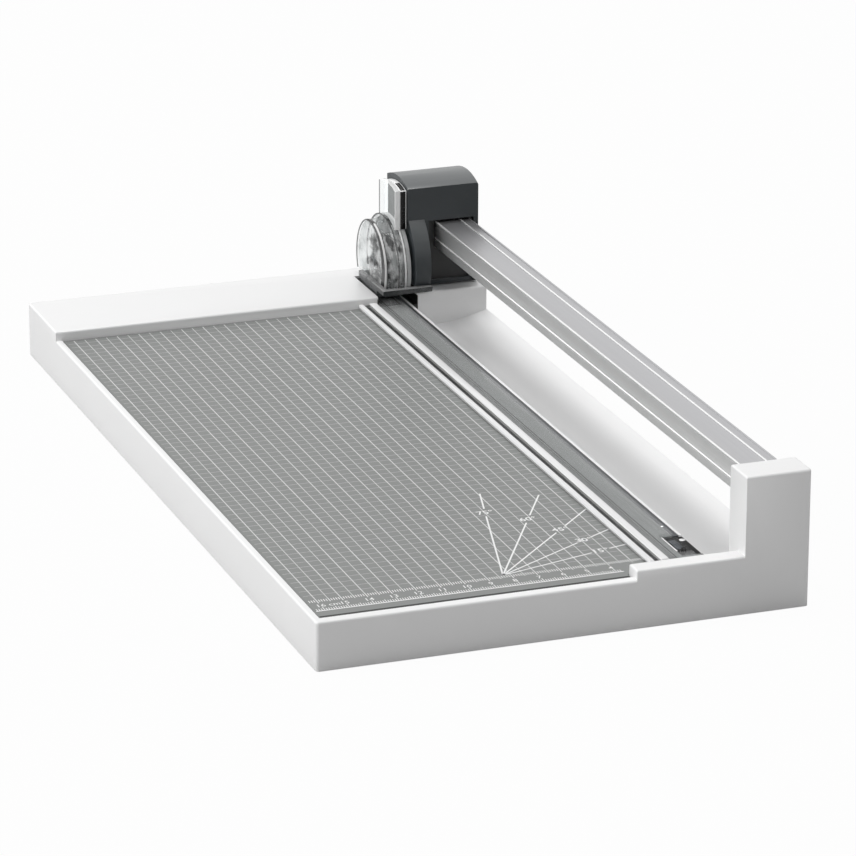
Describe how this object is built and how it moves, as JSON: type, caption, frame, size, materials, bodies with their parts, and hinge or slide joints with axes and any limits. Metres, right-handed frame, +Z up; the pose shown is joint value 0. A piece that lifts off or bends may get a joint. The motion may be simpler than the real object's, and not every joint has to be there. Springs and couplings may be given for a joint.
{
  "type": "rotary paper trimmer",
  "caption": "Desk paper trimmer with a flat printed bed, a rail between two posts, a sliding carriage with a guarded round blade, and a clear clamp strip beside the cut.",
  "frame": {"origin": "middle of the tray's footprint, on the surface that its feet stand on", "axes": "+X from the bed towards the rail, +Y from the front to the back along the rail, +Z up"},
  "size_m": [0.2046, 0.4046, 0.075],
  "materials": {
    "tray_white": "satin moulded",
    "cover_grey": "fine texture",
    "foot_rubber": "matte",
    "zinc_steel": "zinc plated",
    "bed_print": "satin paint with white print",
    "ground_steel": "ground",
    "rail_aluminium": "satin anodised",
    "pillar_aluminium": "cast",
    "spring_steel": "bright",
    "blade_steel": "ground edge",
    "black_plastic": "satin",
    "bush_plastic": "matte",
    "slate_plastic": "satin",
    "smoked_plastic": "clear tinted",
    "clear_plastic": "clear",
    "core_grey": "satin"
  },
  "bodies": {
    "base": {"base_tray": "tray_white", "bottom_cover": "cover_grey", "foot_front_left": "foot_rubber", "foot_front_right": "foot_rubber", "foot_rear_left": "foot_rubber", "foot_rear_right": "foot_rubber", "cover_screws": "zinc_steel", "bed_plate": "bed_print", "fixed_blade": "ground_steel", "fixed_blade_screws": "zinc_steel", "rail": "rail_aluminium", "front_rail_pillar": "pillar_aluminium", "rear_rail_pillar": "pillar_aluminium", "rail_bolts": "zinc_steel", "front_strip_seat": "black_plastic", "rear_strip_seat": "black_plastic", "front_leaf_spring": "spring_steel", "rear_leaf_spring": "spring_steel"},
    "carriage": {"carriage_housing": "slate_plastic", "blade_arm": "black_plastic", "arm_screws": "zinc_steel", "foot_frame": "smoked_plastic", "slide_bush_front": "bush_plastic", "slide_bush_rear": "bush_plastic", "carriage_base": "slate_plastic", "base_screws": "zinc_steel", "guide_pins": "ground_steel", "return_springs": "spring_steel"},
    "cutting_head": {"blade_guard": "clear_plastic", "guard_cap": "clear_plastic", "cartridge_core": "core_grey", "grip_cap": "clear_plastic", "grip_core": "black_plastic", "press_slide": "slate_plastic", "press_shoe": "smoked_plastic", "blade_axle": "ground_steel", "axle_clip": "spring_steel"},
    "blade": {"cutting_blade": "blade_steel", "blade_hub": "core_grey"},
    "clamp": {"clamp_strip": "clear_plastic"}
  },
  "joints": [
    {"name": "carriage_slide", "type": "slide", "parent": "base", "child": "carriage", "axis": [0, -1, 0], "range_m": [0, 0.3475]},
    {"name": "head_press", "type": "slide", "parent": "carriage", "child": "cutting_head", "axis": [0, 0, -1], "range_m": [0, 0.0015], "stiffness_N_per_m": 1200, "springref_m": -0.001, "deforming": ["return_springs"]},
    {"name": "blade_spin", "type": "hinge", "parent": "cutting_head", "child": "blade", "pos_m": [0.0656, 0.17675, 0.0348], "axis": [1, 0, 0], "range_deg": [-5, 1440]},
    {"name": "strip_press", "type": "slide", "parent": "base", "child": "clamp", "axis": [0, 0, -1], "range_m": [0, 0.0005], "stiffness_N_per_m": 800, "springref_m": -0.0005, "deforming": ["front_leaf_spring", "rear_leaf_spring"]}
  ],
  "couplings": [
    {"joint": "blade_spin", "follows": "carriage_slide", "rad_per_m": 71.43},
    {"joint": "strip_press", "follows": "head_press", "ratio": 0.3333}
  ]
}
